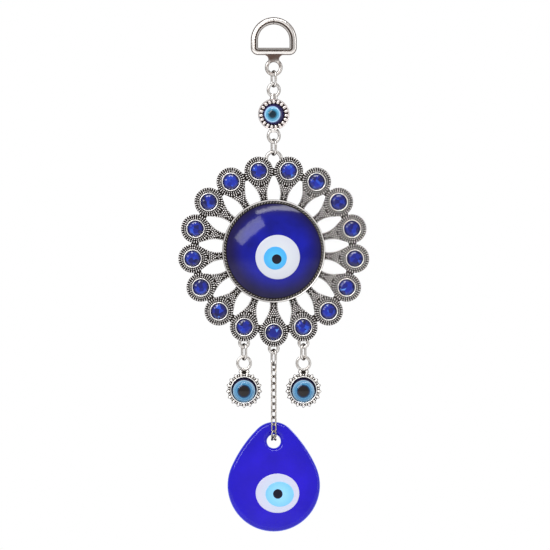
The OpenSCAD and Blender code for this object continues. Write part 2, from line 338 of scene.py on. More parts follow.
@dataclass(frozen=True)
class ColouredGlass:
    """Glossy glass that shades from a heart colour to a rim colour, with faint streaks; edge, where
    given, is a painted highlight on the edges turned away from the view.

    inner and outer are the distances from the centre, in mm, between which the shade changes.
    painted_glow is a painted glow: the glass emits its own colour, as if lit from within.
    """

    name: str
    heart: Colour
    rim: Colour
    centre: Triple
    inner: float
    outer: float
    streak: float = 0.25
    painted_glow: float = 0.0
    edge: Colour | None = None
    shine: float = 0.27
    gloss: float = 0.05

    def material(self) -> Finish:
        """Returns: the finish as a material."""
        sheet = Sheet(self.name)
        place = sheet.millimetres(self.centre)
        reach = sheet.reach(place)
        swirl = sheet.noise(place, 0.16, 3.0, 0.45)
        mask = (reach + (swirl - 0.5) * 2.4).band(self.inner, self.outer)
        tone = sheet.blend(mask, self.heart, self.rim)
        shade = sheet.ramp(swirl, [(0.3, (1 - self.streak,) * 3), (0.7, (1, 1, 1))])
        tone = sheet.blend(1.0, tone, shade, "MULTIPLY")
        # painted highlight: a lighter edge colour on the edges turned away from the view
        if self.edge:
            tone = sheet.blend(sheet.turned_away(0.3, 0.9), tone, self.edge)
        wave = sheet.noise(place, 0.35, 2.0)
        # painted glow: the glass emits its own colour, light that no lamp gives
        return sheet.surface(Base_Color=tone, Roughness=self.gloss, Specular_IOR_Level=self.shine,
                             Emission_Color=tone, Emission_Strength=self.painted_glow,
                             Normal=sheet.bump(wave, 0.12, 0.25))


@dataclass(frozen=True)
class EyeRings:
    """A painted eye under a clear dome: rings of blue round a dark pupil."""

    name: str
    centre: Triple
    radius: float
    rings: tuple[tuple[float, Colour], ...]

    def material(self) -> Finish:
        """Returns: the finish as a material."""
        sheet = Sheet(self.name)
        place = sheet.millimetres(self.centre)
        reach = sheet.reach(place)
        wobble = sheet.noise(place, 0.9, 3.0)
        tone = sheet.ramp((reach + (wobble - 0.5) * 0.28) / self.radius, self.rings)
        return sheet.surface(Base_Color=tone, Roughness=0.05, Specular_IOR_Level=0.36)


@dataclass(frozen=True)
class PaleFloor:
    """Matt white paper with the faintest mottle."""

    name: str
    colour: Colour

    def material(self) -> Finish:
        """Returns: the finish as a material."""
        sheet = Sheet(self.name)
        mottle = sheet.noise(sheet.millimetres(), 0.02, 3.0)
        shade = tuple(0.98 * part for part in self.colour)
        tone = sheet.ramp(mottle, [(0.3, shade), (0.7, self.colour)])
        return sheet.surface(Base_Color=tone, Roughness=0.9, Emission_Color=(1.0, 1.0, 1.0),
                             Emission_Strength=0.22)


# ------------------------------------------------------------- modelling tools


class Slot(Enum):
    """Names of the record's material slots."""

    RING = "ring_metal"
    SILVER = "antique_silver"
    STONE = "cobalt_stone"
    DOME = "cobalt_glass"
    DROP = "ultramarine_glass"
    WHITE = "white_glass"
    SKY = "sky_glass"
    BLACK = "black_glass"
    BEAD = "eye_bead"


def fresh() -> None:
    """Leaves edit mode and deselects everything."""
    if bpy.context.mode != "OBJECT":
        bpy.ops.object.mode_set(mode="OBJECT")
    bpy.ops.object.select_all(action="DESELECT")


def alone(obj: Piece) -> Piece:
    """Args: obj: what becomes active and the only thing selected. Returns: the same object."""
    fresh()
    bpy.context.view_layer.objects.active = obj
    obj.select_set(True)
    return obj


def begin(name: str, primitive: Callable, **sizes: Any) -> Piece:
    """Adds a primitive in millimetres and opens it in edit mode, selected all over.

    Args:
        name: the new object's name.
        primitive: the operator that adds it.
        sizes: that operator's settings.

    Returns:
        The new object.
    """
    fresh()
    primitive(**sizes)
    obj = bpy.context.object
    obj.name = name
    bpy.ops.object.transform_apply(location=True, rotation=True, scale=True)
    bpy.ops.object.mode_set(mode="EDIT")
    bpy.ops.mesh.select_all(action="SELECT")
    return obj


def end() -> None:
    """Merges doubles, turns faces outwards and leaves edit mode."""
    bpy.ops.mesh.select_mode(type="VERT")
    bpy.ops.mesh.select_all(action="SELECT")
    bpy.ops.mesh.remove_doubles(threshold=1e-4)
    bpy.ops.mesh.normals_make_consistent(inside=False)
    bpy.ops.object.mode_set(mode="OBJECT")


def pick(obj: Piece, test: Callable[[Vector], bool]) -> None:
    """Selects vertices by place. Args: obj: the object in edit mode. test: which are wanted."""
    bpy.ops.mesh.select_mode(type="VERT")
    bpy.ops.mesh.select_all(action="DESELECT")
    mesh = bmesh.from_edit_mesh(obj.data)
    for vert in mesh.verts:
        vert.select_set(test(vert.co))
    mesh.select_flush_mode()
    bmesh.update_edit_mesh(obj.data)


def extrude(x: float, y: float, z: float) -> None:
    """Extrudes what is selected. Args: x, y, z: how far."""
    bpy.ops.mesh.extrude_region_move(TRANSFORM_OT_translate={"value": (x, y, z)})


def stretch(factors: Triple, about: Triple) -> None:
    """Scales what is selected. Args: factors: along X, Y and Z. about: what stays in place."""
    bpy.ops.transform.resize(value=factors, center_override=about)


def bend(steps: int, angle: float, x: float, y: float) -> None:
    """Spins what is selected about an upright axis. Args: steps, angle: its parts. x, y: where."""
    bpy.ops.mesh.spin(steps=steps, angle=angle, center=(x, y, 0), axis=(0, 0, 1))


def quarter_turn() -> None:
    """Turns what is selected a quarter about X, which swaps Y and Z."""
    bpy.ops.transform.rotate(value=math.pi / 2, orient_axis="X", center_override=(0, 0, 0))


def chain_points(points: Sequence[Triple]) -> None:
    """Extrudes the one selected vertex along a line. Args: points: where it goes, in order."""
    bpy.ops.transform.translate(value=points[0])
    for last, here in zip(points, points[1:]):
        step = Vector(here) - Vector(last)
        bpy.ops.mesh.extrude_vertices_move(TRANSFORM_OT_translate={"value": step})


def outline(name: str, points: Sequence[Triple]) -> Piece:
    """Args: name: the object's name. points: a line of points. Returns: the line, in edit mode."""
    obj = begin(name, bpy.ops.mesh.primitive_plane_add, size=1)
    bpy.ops.mesh.merge(type="CENTER")
    chain_points(points)
    bpy.ops.mesh.select_all(action="SELECT")
    return obj


def turned(name: str, profile: Sequence[Point], steps: int) -> Piece:
    """Spins a profile about Z into a closed round piece.

    Args:
        name: the object's name.
        profile: (radius, height) points; height faces the front.
        steps: sides of the round.

    Returns:
        The finished mesh object.
    """
    obj = outline(name, [(radius, 0, height) for radius, height in profile])
    bend(steps, FULL_TURN, 0, 0)
    end()
    return obj


def rounded(radius: float, low: float, high: float, ease: float) -> list[Point]:
    """A disc's cross-section with an eased upper corner.

    Args:
        radius: its outer radius.
        low, high: its foot and its top.
        ease: how much the corner is rounded.

    Returns:
        The closed profile for turned().
    """
    angles = (0, math.pi / 6, math.pi / 3, math.pi / 2)
    corner = [(math.cos(a) * ease, math.sin(a) * ease) for a in angles]
    outside = [(radius - ease + dx, high - ease + dz) for dx, dz in corner]
    return [(0, low), (radius, low), *outside, (0, high)]


def cap_arc(ball: float, widest: float, base: float, steps: int) -> list[Point]:
    """The arc of a sphere's cap.

    Args:
        ball: the sphere's radius.
        widest: the cap's half angle.
        base: the height of the sphere's middle.
        steps: parts of the arc.

    Returns:
        Its points, from the rim to the pole.
    """
    angles = [widest * (1 - k / steps) for k in range(steps + 1)]
    return [(ball * math.sin(a), base + ball * math.cos(a)) for a in angles]


def dome_profile(radius: float, rise: float, foot: float, steps: int, skirt: float) -> list[Point]:
    """A lens: an arc from its rim to its pole on a flat foot.

    Args:
        radius: the rim's radius.
        rise: the pole's height over the rim.
        foot: the rim's height.
        steps: points along the arc.
        skirt: the straight edge's height below the rim.

    Returns:
        The closed profile for turned().
    """
    ball = (radius * radius + rise * rise) / (2 * rise)
    widest = math.asin(min(1.0, radius / ball))
    low = foot - skirt
    return [(0, low), (radius, low), *cap_arc(ball, widest, foot + rise - ball, steps)]


def smooth(obj: Piece, angle: float = 40) -> Piece:
    """Args: obj: a mesh. angle: edges sharper than this stay crisp. Returns: the same object."""
    alone(obj)
    bpy.ops.object.shade_smooth_by_angle(angle=math.radians(angle))
    return obj


def finish_with(obj: Piece, kind: str, **settings: Any) -> Piece:
    """Adds one modifier and applies it.

    Args:
        obj: the mesh.
        kind: the modifier's type.
        settings: its settings.

    Returns:
        The same object.
    """
    alone(obj)
    modifier = obj.modifiers.new(kind.title(), kind)
    for key, value in settings.items():
        setattr(modifier, key, value)
    bpy.ops.object.modifier_apply(modifier=modifier.name)
    return obj


def joined(name: str, objects: Sequence[Piece]) -> Piece:
    """Args: name: the result's name. objects: what is joined. Returns: the one object."""
    fresh()
    for obj in objects:
        obj.select_set(True)
    bpy.context.view_layer.objects.active = objects[0]
    bpy.ops.object.join()
    objects[0].name = name
    return objects[0]


def repeated(master: Piece, places: Iterable[Matrix], name: str) -> Piece:
    """Copies a piece to many places, joins the copies and drops the master.

    Args:
        master: the piece to copy.
        places: where each copy goes.
        name: the result's name.

    Returns:
        All copies as one object.
    """
    twins = [twin_of(master, place, name) for place in places]
    drop(master)
    return joined(name, twins)


def twin_of(master: Piece, place: Matrix, name: str) -> Piece:
    """Args: master: the piece. place, name: its copy's place and name. Returns: the copy."""
    twin = master.copy()
    twin.data = master.data.copy()
    twin.data.transform(place)
    twin.name = name
    bpy.context.scene.collection.objects.link(twin)
    return twin


def drop(obj: Piece) -> None:
    """Args: obj: a scratch piece that is deleted."""
    alone(obj)
    bpy.ops.object.delete()


def stand(obj: Piece, x: float = 0.0, z: float = 0.0, y: float = 0.0) -> Piece:
    """Stands a piece modelled lying face up, with its front to -Y, and brings it to metres.

    Args:
        obj: the piece in millimetres.
        x, z, y: where its origin goes, in millimetres.

    Returns:
        The same object, at the origin with its place in its mesh.
    """
    alone(obj)
    obj.rotation_euler = (math.pi / 2, 0, 0)
    obj.scale = (MM, MM, MM)
    obj.location = (x * MM, y * MM, z * MM)
    bpy.ops.object.transform_apply(location=True, rotation=True, scale=True)
    return obj


def spot(x: float, y: float, z: float = 0.0, turn: float = 0.0) -> Matrix:
    """Args: x, y, z: a place in mm. turn: a turn about the front axis. Returns: the matrix."""
    return Matrix.Translation((x, y, z)) @ Matrix.Rotation(turn, 4, "Z")


def dress(obj: Piece, material: Finish) -> Piece:
    """Args: obj: a piece. material: its only finish. Returns: the piece."""
    obj.data.materials.clear()
    obj.data.materials.append(material)
    return obj


def dress_solid(obj: Piece, material: Finish) -> None:
    """Args: obj: a solid node. material: the finish that its object's slots take."""
    for part in obj.material_slots:
        part.link = "OBJECT"
        part.material = material


def place_on(obj: Piece, finish: Finish, body: str,
             replaces: Sequence[str] = ()) -> None:
    """Dresses a finished piece and ties it to its body.

    Args:
        obj: the piece.
        finish: its material.
        body: the solid body it moves with.
        replaces: the solid nodes it stands for.
    """
    dress(obj, finish)
    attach(obj, body)
    if replaces:
        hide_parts(*replaces)
    log.info("%s on %s: %d faces", obj.name, body, len(obj.data.polygons))


# ------------------------------------------------------------------ the pieces


@dataclass(frozen=True)
class Metals:
    """The metal finishes that several pieces share."""

    petal: Finish
    hub: Finish
    rope: Finish
    rim: Finish
    wire: Finish
    fine: Finish
    setting: Finish
    claws: Finish
    hanger: Finish
    shank: Finish

    @classmethod
    def mixed(cls) -> "Metals":
        """Returns: the finishes, each made once."""
        looks = (
            AntiqueSilver("petal_silver", 0.9, 1.08, mid=(0.46, 0.42, 0.405),
                          bright=(1.0, 0.97, 0.96), flank=0.22),
            AntiqueSilver("hub_silver", 1.7, 2.06, bright=(0.86, 0.83, 0.81)),
            AntiqueSilver("rope_silver", 1.62, 2.05, mid=(0.24, 0.215, 0.20),
                          bright=(0.55, 0.52, 0.50)),
            PolishedSilver("rim_silver", bright=(0.97, 0.95, 0.93), amount=0.2,
                           outline=(0.6, 1.0)),
            PolishedSilver("wire_silver"),
            PolishedSilver("chain_silver", bright=(0.60, 0.56, 0.52), tarnish=(0.27, 0.22, 0.185),
                           amount=0.9, outline=(0.1, 0.6)),
            AntiqueSilver("setting_silver", 0.46, 0.86),
            AntiqueSilver("claw_silver", 0.5, 1.0, dark=(0.05, 0.03, 0.028),
                          mid=(0.40, 0.33, 0.31), bright=(0.83, 0.76, 0.74), outline=0.8),
            # The hanger's low flank leaves its sides in the dark colour, painted shade along its
            # edges, on top of its full outline of painted shade.
            AntiqueSilver("hanger_silver", 0.52, 0.86, dark=(0.07, 0.045, 0.035),
                          mid=(0.40, 0.34, 0.31), bright=(0.90, 0.86, 0.83), rough=0.15,
                          outline=1.0, flank=0.15),
            PolishedSilver("shank_silver", bright=(0.74, 0.70, 0.67), tarnish=(0.30, 0.23, 0.20),
                           rough=0.18, amount=0.8, stain_from=-12.0))
        return cls(*(look.material() for look in looks))


def ball(name: str, radius: float, shape: Triple, sides: tuple[int, int] = (12, 7)) -> Piece:
    """Args: name, radius, shape: its own. sides: round and up. Returns: a stretched ball."""
    obj = begin(name, bpy.ops.mesh.primitive_uv_sphere_add, segments=sides[0],
                ring_count=sides[1], radius=radius)
    bpy.ops.transform.resize(value=shape)
    end()
    return smooth(obj, ALL_SOFT)


def grain_ball(radius: float, flat: float) -> Piece:
    """Args: radius: a granule's radius. flat: its height over its width. Returns: one granule."""
    return ball("granule", radius, (1, 1, flat), (8, 5))


def wire_ring(name: str, radius: float, wire: float, sides: tuple[int, int],
              shape: Triple) -> Piece:
    """A wire ring, lying flat about the origin.

    Args:
        name: the ring's name.
        radius: the wire's distance from the ring's middle.
        wire: the wire's own radius.
        sides: round the ring and round the wire.
        shape: its stretch.

    Returns:
        The ring.
    """
    obj = begin(name, bpy.ops.mesh.primitive_torus_add, major_radius=radius, minor_radius=wire,
                major_segments=sides[0], minor_segments=sides[1])
    bpy.ops.transform.resize(value=shape)
    end()
    return obj


def rib(length: float, width: float, height: float) -> Piece:
    """Args: length, width, height: a rib's sizes, its length along Y. Returns: one rounded rib."""
    obj = begin("rib", bpy.ops.mesh.primitive_uv_sphere_add, segments=8, ring_count=5,
                radius=width / 2)
    quarter_turn()
    pick(obj, lambda co: co.y > 1e-4)
    bpy.ops.transform.translate(value=(0, (length - width) / 2, 0))
    pick(obj, lambda co: co.y < -1e-4)
    bpy.ops.transform.translate(value=(0, -(length - width) / 2, 0))
    bpy.ops.mesh.select_all(action="SELECT")
    bpy.ops.transform.resize(value=(1, 1, height / (width / 2)))
    end()
    return smooth(obj, ALL_SOFT)


@dataclass
class Petal:
    """One petal of the medallion, pointing down from the hub's centre, and its copies.

    neck holds (reach, half width) pairs. Its two faces lie a step inside the disc's, so that no
    two faces share a plane.
    """

    metals: Metals
    count: int = 17
    disc_at: float = 26.05
    disc_r: float = 4.58
    floor: float = 0.7
    back: float = -1.0
    back_step: float = 0.08
    face_step: float = 0.06
    ribs: int = 35
    stone_r: float = 2.56
    neck: tuple[Point, ...] = (
        (15.9, 1.24), (17.0, 1.14), (18.0, 1.2), (18.8, 1.34), (19.8, 1.62), (20.8, 2.08),
        (21.6, 2.55), (22.4, 3.05), (23.2, 3.55))

    def half_width(self, reach: float) -> float:
        """Args: reach: distance from the hub's centre. Returns: the neck's half width there."""
        for (near, thin), (far, wide) in zip(self.neck, self.neck[1:]):
            if near <= reach <= far:
                return thin + (wide - thin) * (reach - near) / (far - near)
        return self.neck[-1][1]

    def plate(self) -> Piece:
        """Returns: the flat cast plate, a disc and its flared neck."""
        disc = begin("petal_disc", bpy.ops.mesh.primitive_circle_add, vertices=56,
                     radius=self.disc_r, fill_type="NGON", location=(0, -self.disc_at, self.back))
        extrude(0, 0, self.floor - self.back)
        end()
        rows = len(self.neck) - 1
        back = self.back + self.back_step
        strip = begin("petal_neck", bpy.ops.mesh.primitive_grid_add, x_subdivisions=1,
                      y_subdivisions=rows, size=1, location=(0, 0, back))
        for row, (reach, half) in enumerate(self.neck):
            level = 0.5 - row / rows
            pick(strip, lambda co, level=level: abs(co.y - level) < 0.02)
            stretch((2 * half, 1, 1), (0, level, back))
        for row, (reach, half) in enumerate(self.neck):
            level = 0.5 - row / rows
            pick(strip, lambda co, level=level: abs(co.y - level) < 0.02)
            bpy.ops.transform.translate(value=(0, -reach - level, 0))
        bpy.ops.mesh.select_all(action="SELECT")
        extrude(0, 0, self.floor - self.face_step - back)
        end()
        for obj in (disc, strip):
            smooth(finish_with(obj, "BEVEL", width=0.12, segments=2, limit_method="ANGLE",
                               angle_limit=math.radians(50)))
        return joined("petal_plate", [disc, strip])

    def border(self) -> list[Piece]:
        """Returns: two rings of ribs round the stone, and the neck's ribbed edges and granules."""
        made = []
        turns = [FULL_TURN * k / self.ribs for k in range(self.ribs)]
        for name, radius, length, width, level in (("petal_ribs", 4.26, 0.84, 0.38, 0.76),
                                                   ("inner_ribs", 3.46, 0.62, 0.34, 0.8)):
            places = [spot(radius * math.cos(a), -self.disc_at + radius * math.sin(a), level,
                           a - math.pi / 2) for a in turns]
            made.append(repeated(rib(length, width, 0.44), places, name))
        made.append(repeated(rib(0.66, 0.4, 0.44), self.edge_places(), "neck_ribs"))
        made.append(repeated(grain_ball(0.28, 1.3), self.bead_places(), "petal_beads"))
        return made

    def edge_places(self) -> list[Matrix]:
        """Returns: where the ribs along both sides of the neck lie."""
        places = []
        for side in (-1, 1):
            for k in range(8):
                reach = 16.95 + 0.68 * k
                half = self.half_width(reach)
                lean = math.atan2(self.half_width(reach + 0.2) - self.half_width(reach - 0.2), 0.4)
                if self.off_disc(half, reach) > 0.1:
                    turn = side * (math.pi / 2 - lean)
                    places.append(spot(side * (half - 0.14), -reach, 0.76, turn))
        return places

    def bead_places(self) -> list[Matrix]:
        """Returns: where the granules between the neck's ribs lie, in staggered rows."""
        pitch = 0.66
        places = []
        for row in range(9):
            reach = 17.0 + 0.6 * row
            room = self.half_width(reach) - 0.6
            for k in range(-5, 6):
                x = pitch * k + pitch / 2 * (row % 2)
                if abs(x) < room and self.off_disc(x, reach) > 0.2:
                    places.append(spot(x, -reach, 0.82))
        return places

    def off_disc(self, x: float, reach: float) -> float:
        """Args: x, reach: a place on the petal. Returns: how far it lies outside the disc."""
        return math.hypot(x, reach - self.disc_at) - self.disc_r - 0.1

    def bezel(self) -> Piece:
        """Returns: the polished ring that holds a stone, face up about the origin."""
        profile = [(2.52, 0.6), (2.56, 1.85), (2.64, 2.05), (2.78, 2.13), (2.92, 2.05),
                   (3.02, 1.85), (3.06, 1.5), (3.08, 0.6), (2.52, 0.6)]
        return turned("bezel_master", profile, 48)

    def master(self) -> Piece:
        """Returns: the whole petal but its bezel, lying face up in millimetres."""
        return joined("petal_master", [self.plate(), *self.border()])

    def stone(self) -> Piece:
        """Returns: one faceted stone, face up about the origin."""
        sides = 16
        half_step = math.pi / sides
        obj = begin("stone", bpy.ops.mesh.primitive_circle_add, vertices=sides,
                    radius=self.stone_r, fill_type="NGON", location=(0, 0, 1.2))
        extrude(0, 0, 0.32)
        for scale, rise in ((0.83, 0.42), (0.72, 0.3)):
            extrude(0, 0, rise)
            stretch((scale, scale, 1), (0, 0, 0))
            bpy.ops.transform.rotate(value=half_step, orient_axis="Z", center_override=(0, 0, 0))
        bpy.ops.mesh.select_all(action="SELECT")
        bpy.ops.mesh.quads_convert_to_tris()
        end()
        reach = obj.data.attributes.new("reach", "FLOAT", "POINT")
        values = [math.hypot(vert.co.x, vert.co.y) / self.stone_r for vert in obj.data.vertices]
        reach.data.foreach_set("value", values)
        return obj

    def build(self) -> None:
        """Builds the petals, bezels and stones all round the hub."""
        master = self.master()
        bezel = self.bezel()
        stone = self.stone()
        gem = Stone("cobalt_stone_finish").material()
        for k in range(self.count):
            turn = FULL_TURN * k / self.count
            spin = Matrix.Rotation(turn, 4, "Z")
            at = spin @ Matrix.Translation((0, -self.disc_at, 0))
            petal = stand(twin_of(master, spin, f"petal_{k + 1:02d}"), 0, HUB_Z)
            place_on(petal, self.metals.petal, "medallion")
            ring = smooth(stand(twin_of(bezel, at, f"bezel_{k + 1:02d}"), 0, HUB_Z), 60)
            place_on(ring, self.metals.rim, "medallion")
            cut = Matrix.Rotation(k * 1.3, 4, "Z")
            jewel = stand(twin_of(stone, at @ cut, f"stone_{k + 1:02d}"), 0, HUB_Z)
            place_on(jewel, gem, "medallion", ["rim_stones"] if k == 0 else [])
        for scratch in (master, bezel, stone):
            drop(scratch)


@dataclass
class Hub:
    """The medallion's middle: back plate, plain ring, rope ring, loops and bridges."""

    metals: Metals
    z: float = HUB_Z
    petals: int = 17
    bridge_at: float = 25.75
    strands: int = 104
    top_wire: float = -40.73
    side_loops: tuple[Point, ...] = ((-9.5, -101.9), (9.5, -101.9), (0.0, -103.65))
    loop_r: float = 1.4
    loop_wire: float = 0.485

    def plate(self) -> Piece:
        """Returns: the back plate with its plain raised ring."""
        profile = [(0, -1.0), (16.3, -1.0), (16.45, -0.85), (16.5, 1.6), (16.44, 1.92),
                   (16.28, 2.04), (16.08, 1.98), (15.98, 1.7), (15.94, 1.35), (15.12, 1.3),
                   (15.12, 0.6), (0, 0.6)]
        return smooth(turned("hub_plate", profile, 128), 50)

    def rope(self) -> Piece:
        """Returns: the twisted rope ring round the glass."""
        lean = spot(15.63, 0, 1.5, math.radians(42))
        places = [Matrix.Rotation(FULL_TURN * k / self.strands, 4, "Z") @ lean
                  for k in range(self.strands)]
        return repeated(rib(0.92, 0.44, 0.46), places, "hub_rope")

    def bridges(self) -> Piece:
        """Returns: the small dark joints between neighbouring petals."""
        block = begin("bridge", bpy.ops.mesh.primitive_cube_add, size=1)
        bpy.ops.transform.resize(value=(1.1, 2.5, 1.3))
        bpy.ops.mesh.bevel(offset=0.18, segments=2)
        end()
        reach = self.bridge_at * math.cos(math.pi / self.petals)
        places = [Matrix.Rotation(FULL_TURN * (k + 0.5) / self.petals, 4, "Z") @ spot(0, -reach)
                  for k in range(self.petals)]
        return smooth(repeated(block, places, "petal_bridges"))

    def arch(self) -> Piece:
        """Returns: the arched loop between the two top petals, with its two feet."""
        obj = begin("top_arch", bpy.ops.mesh.primitive_circle_add, vertices=14, radius=0.54,
                    location=(2.5, -2.9, 0), rotation=(math.pi / 2, 0, 0))
        extrude(-0.1, 1.5, 0)
        extrude(0, 1.4, 0)
        bend(20, -math.pi, 0, 0)
        extrude(0, -1.4, 0)
        extrude(-0.1, -1.5, 0)
        bpy.ops.mesh.select_all(action="SELECT")
        bpy.ops.mesh.select_non_manifold()
        bpy.ops.mesh.fill_holes(sides=0)
        end()
        finish_with(obj, "SUBSURF", levels=1, render_levels=1)
        return smooth(stand(obj, 0, self.top_wire - 2.4), ALL_SOFT)

    def build(self) -> None:
        """Builds and places the hub's pieces."""
        hub = stand(self.plate(), 0, self.z)
        place_on(hub, self.metals.hub, "medallion", ["medallion_frame"])
        rope = stand(self.rope(), 0, self.z)
        place_on(rope, self.metals.rope, "medallion")
        bridges = stand(self.bridges(), 0, self.z)
        place_on(bridges, self.metals.petal, "medallion")
        place_on(self.arch(), self.metals.wire, "medallion")
        for name, (x, z) in zip(("left_loop", "right_loop", "middle_loop"), self.side_loops):
            loop = wire_ring(name, self.loop_r, self.loop_wire, (40, 14), (1, 1, 0.98))
            smooth(stand(loop, x, z), ALL_SOFT)
            place_on(loop, self.metals.wire, "medallion")


PUPIL = (0.008, 0.008, 0.02)
INLAY_SLOTS = (Slot.WHITE, Slot.SKY, Slot.BLACK)


@dataclass
class CentreEye:
    """The domed glass eye: a deep blue dome and three thin layers of glass on it."""

    z: float = HUB_Z
    radius: float = 15.1
    rise: float = 4.4
    foot: float = 1.6

    @property
    def ball(self) -> float:
        """Returns: the radius of the dome's sphere."""
        return (self.radius ** 2 + self.rise ** 2) / (2 * self.rise)

    def layer(self, name: str, x: float, z: float, radius: float, proud: float) -> Piece:
        """A thin cap of glass fused on the dome.

        Args:
            name: the piece's name.
            x, z: its middle, from the hub's centre.
            radius: its outline's radius.
            proud: how far it stands over the dome.

        Returns:
            The cap, placed.
        """
        outer = self.ball + proud
        widest = math.asin(radius / outer)
        arc = cap_arc(outer, widest, 0, 12)
        rim, level = arc[0]
        edge = [(rim + 0.06, level - 0.3), (rim + 0.05, level - 0.06)]
        profile = [(0, level - 0.4), *edge, *arc]
        obj = turned(name, profile, 96)
        lean = math.atan2(math.hypot(x, z), math.sqrt(self.ball ** 2 - x * x - z * z))
        axis = Vector((-z, x, 0)).normalized()
        obj.data.transform(Matrix.Rotation(lean, 4, axis))
        obj.data.transform(Matrix.Translation((0, 0, self.foot + self.rise - self.ball)))
        return smooth(stand(obj, 0, self.z), 50)

    def build(self) -> None:
        """Builds and places the eye's glass."""
        dome = turned("eye_blue", dome_profile(self.radius, self.rise, self.foot, 22, 0.98), 128)
        dome = smooth(stand(dome, 0, self.z), 50)
        # The dome's bright blue heart and dark navy rim are painted light passing through the glass
        # and painted shade towards its rim; its glow is painted too.
        deep = ColouredGlass("deep_blue_glass", (0.005, 0.008, 0.33), (0.009, 0.005, 0.065),
                             (0.8, 0, self.z + 0.6), 9.0, 15.3, streak=0.45, painted_glow=0.1, gloss=0.1)
        place_on(dome, deep.material(), "medallion", ["center_glass_blue"])
        # The milk and sky layers take a painted glow.
        white = ColouredGlass("milk_glass", (0.61, 0.645, 0.70), (0.58, 0.60, 0.68),
                              (1.3, 0, self.z - 2), 3, 7, 0.04, 0.1)
        sky = ColouredGlass("sky_glass", (0.078, 0.435, 0.74), (0.06, 0.37, 0.75),
                            (0.5, 0, self.z - 2.3), 1, 3.6, 0.1, 0.22)
        black = ColouredGlass("pupil_glass", PUPIL, PUPIL, (0.95, 0, self.z - 2.6), 0.5, 1.5, 0.1)
        finishes = [glass.material() for glass in (white, sky, black)]
        for finish, slot, (name, node, *sizes) in zip(finishes, INLAY_SLOTS, (
                ("eye_white", "center_glass_white", 1.3, -2.0, 7.05, 0.05),
                ("eye_sky", "center_glass_sky", 0.5, -2.3, 3.65, 0.10),
                ("eye_pupil", "center_glass_pupil", 0.95, -2.6, 1.5, 0.15))):
            place_on(self.layer(name, *sizes), finish, "medallion", [node])


BEAD_RINGS = (
    (0.0, (0.010, 0.007, 0.007)), (0.39, (0.011, 0.008, 0.009)), (0.425, (0.004, 0.010, 0.035)),
    (0.50, (0.006, 0.045, 0.13)), (0.55, (0.04, 0.19, 0.37)), (0.60, (0.11, 0.34, 0.56)),
    (0.66, (0.035, 0.18, 0.39)), (0.73, (0.18, 0.37, 0.57)), (0.78, (0.09, 0.27, 0.47)),
    (0.86, (0.38, 0.58, 0.74)), (0.895, (0.012, 0.010, 0.055)), (1.0, (0.006, 0.004, 0.025)))
CONNECTOR_RINGS = (
    (0.0, (0.004, 0.020, 0.035)), (0.30, (0.005, 0.022, 0.040)), (0.36, (0.012, 0.09, 0.16)),
    (0.44, (0.03, 0.19, 0.33)), (0.50, (0.07, 0.32, 0.52)), (0.56, (0.13, 0.42, 0.62)),
    (0.60, (0.08, 0.30, 0.52)), (0.66, (0.26, 0.55, 0.80)), (0.74, (0.42, 0.68, 0.90)),
    (0.78, (0.10, 0.13, 0.32)), (0.84, (0.014, 0.010, 0.085)), (1.0, (0.010, 0.006, 0.06)))


